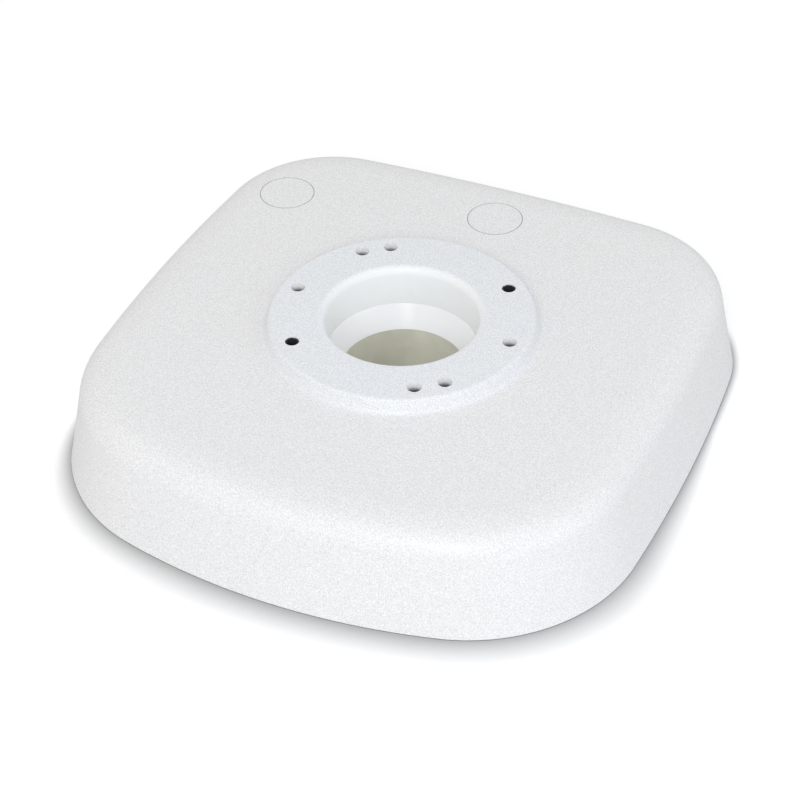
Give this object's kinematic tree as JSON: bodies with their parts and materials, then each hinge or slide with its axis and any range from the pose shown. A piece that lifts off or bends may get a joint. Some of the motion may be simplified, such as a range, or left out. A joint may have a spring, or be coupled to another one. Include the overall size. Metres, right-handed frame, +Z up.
{
  "type": "radar dome antenna",
  "caption": "Low rounded-square radome with a raised bolting ring and a hollow centre, over a base plate with a belt-driven turning antenna array inside.",
  "frame": {"origin": "on the axis of the hollow hub, at the height of the radome's rim. The centre of the plan's box is 3.0 mm in front of that axis, because the front side is bowed more than the back", "axes": "+Z up through the hub, +X to the right and -Y towards the front side, which is bowed a little more than the others"},
  "size_m": [0.4534, 0.4587, 0.0898],
  "materials": {
    "gelcoat_white": "satin white gelcoat with a fine orange-peel grain",
    "funnel_white": "glossy white moulding",
    "hub_khaki": "plain khaki-grey moulded tube",
    "rubber_black": "black rubber",
    "cast_aluminium": "cast, light grey, matt",
    "bright_aluminium": "pressed and turned, satin",
    "stainless": "turned stainless steel",
    "brass": "turned brass",
    "counterweight_grey": "cast, dark grey",
    "black_plastic": "black moulded plastic",
    "grey_plastic": "grey sleeve",
    "circuit_green": "green solder mask",
    "array_cream": "bare laminate",
    "copper": null
  },
  "bodies": {
    "base": {"base_plate": "cast_aluminium", "base_gasket": "rubber_black", "hub_tube": "hub_khaki", "hub_funnel": "funnel_white", "collar_seal": "rubber_black", "bearing_inner_race": "stainless", "bearing_retainer": "bright_aluminium", "motor_bracket": "bright_aluminium", "drive_motor": "black_plastic", "drive_belt": "rubber_black", "control_board": "circuit_green", "power_board": "circuit_green", "processor_shield": "bright_aluminium", "heat_sink": "black_plastic", "inductor": "copper", "capacitor_1": "grey_plastic", "capacitor_2": "grey_plastic", "power_connector": "black_plastic", "network_connector": "black_plastic", "breather_vent": "black_plastic", "home_sensor": "black_plastic", "brush_block": "black_plastic", "board_cable": "black_plastic", "motor_cable": "black_plastic", "cover_screw_1": "stainless", "cover_screw_2": "stainless", "cover_screw_3": "stainless", "cover_screw_4": "stainless", "cover_screw_5": "stainless", "cover_screw_6": "stainless", "cover_screw_7": "stainless", "cover_screw_8": "stainless", "hub_screw_1": "stainless", "hub_screw_2": "stainless", "hub_screw_3": "stainless", "hub_screw_4": "stainless", "base_insert_1": "brass", "base_insert_2": "brass", "base_insert_3": "brass", "base_insert_4": "brass"},
    "radome": {"radome_shell": "gelcoat_white", "blanking_plug_left": "gelcoat_white", "blanking_plug_right": "gelcoat_white", "mount_bush_1": "rubber_black", "mount_bush_2": "rubber_black"},
    "turntable": {"turntable": "cast_aluminium", "bearing_outer_race": "stainless", "turntable_pulley": "black_plastic", "slip_ring": "brass", "counterweight": "counterweight_grey", "home_magnet": "stainless", "reflector_tray": "bright_aluminium", "patch_board": "array_cream", "rf_module": "cast_aluminium", "rf_module_lid": "bright_aluminium", "array_bracket_left": "bright_aluminium", "array_bracket_right": "bright_aluminium"},
    "ball_cage": {"bearing_ball_cage": "brass"},
    "motor_rotor": {"motor_pulley": "bright_aluminium", "motor_shaft": "stainless"}
  },
  "joints": [
    {"name": "radome_lift", "type": "slide", "parent": "base", "child": "radome", "axis": [0, 0, 1], "range_m": [0, 0.15]},
    {"name": "turntable_spin", "type": "hinge", "parent": "base", "child": "turntable", "pos_m": [0, 0, 0.022], "axis": [0, 0, 1], "continuous": true},
    {"name": "ball_cage_spin", "type": "hinge", "parent": "base", "child": "ball_cage", "pos_m": [0, 0, 0.022], "axis": [0, 0, 1], "continuous": true},
    {"name": "motor_spin", "type": "hinge", "parent": "base", "child": "motor_rotor", "pos_m": [0.15, 0.15, 0.0165], "axis": [0, 0, 1], "continuous": true}
  ],
  "couplings": [
    {"joint": "ball_cage_spin", "follows": "turntable_spin", "ratio": 0.52586},
    {"joint": "motor_spin", "follows": "turntable_spin", "ratio": 6.8182}
  ]
}
